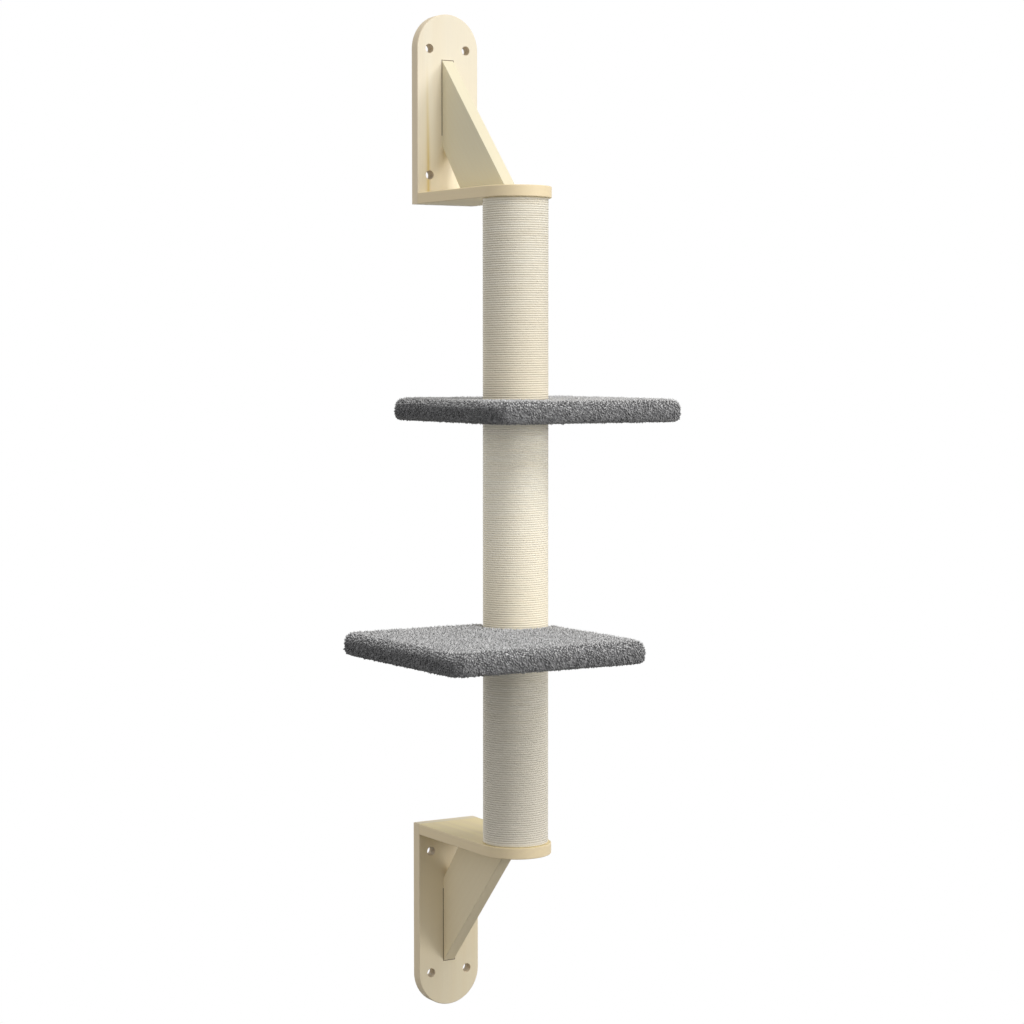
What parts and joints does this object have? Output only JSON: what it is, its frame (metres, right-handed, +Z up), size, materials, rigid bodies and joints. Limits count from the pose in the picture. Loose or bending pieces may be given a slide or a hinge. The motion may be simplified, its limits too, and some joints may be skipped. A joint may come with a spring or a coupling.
{
  "type": "wall mounted cat tree",
  "caption": "Rope-wound scratching post held off a wall by an upper and a lower wooden bracket, with two padded plush platforms clamped in it on opposite sides.",
  "frame": {"origin": "middle of the lower bracket's four wall holes, on the wall face of its plate", "axes": "+Z up along the post, +Y into the wall, +X along the wall to the right as seen from the room"},
  "size_m": [0.4625, 0.461, 1.441],
  "materials": {
    "bracket_wood": "satin",
    "plug_wood": "matte",
    "board_wood": "matte",
    "steel": "satin",
    "brass": "satin",
    "card": "matte",
    "rope": "matte",
    "plush": "matte",
    "foam": "matte",
    "lining": "matte"
  },
  "bodies": {
    "root": {"lower_wall_plate": "bracket_wood", "lower_arm": "bracket_wood", "lower_brace": "bracket_wood", "lower_plate_screws": "steel", "lower_brace_dowels": "plug_wood", "lower_post_bolt": "steel", "upper_wall_plate": "bracket_wood", "upper_arm": "bracket_wood", "upper_brace": "bracket_wood", "upper_plate_screws": "steel", "upper_brace_dowels": "plug_wood", "upper_post_bolt": "steel", "lower_core_tube": "card", "lower_rope": "rope", "lower_bottom_plug": "plug_wood", "lower_bottom_insert": "brass", "lower_top_plug": "plug_wood", "lower_top_insert": "brass", "middle_core_tube": "card", "middle_rope": "rope", "middle_bottom_plug": "plug_wood", "middle_bottom_insert": "brass", "middle_top_plug": "plug_wood", "middle_top_insert": "brass", "upper_core_tube": "card", "upper_rope": "rope", "upper_bottom_plug": "plug_wood", "upper_bottom_insert": "brass", "upper_top_plug": "plug_wood", "upper_top_insert": "brass", "lower_platform_cover": "plush", "lower_platform_board": "board_wood", "lower_platform_foam_pad": "foam", "lower_platform_lining": "lining", "lower_platform_staples": "steel", "lower_platform_stud": "steel", "upper_platform_cover": "plush", "upper_platform_board": "board_wood", "upper_platform_foam_pad": "foam", "upper_platform_lining": "lining", "upper_platform_staples": "steel", "upper_platform_stud": "steel"}
  },
  "joints": []
}
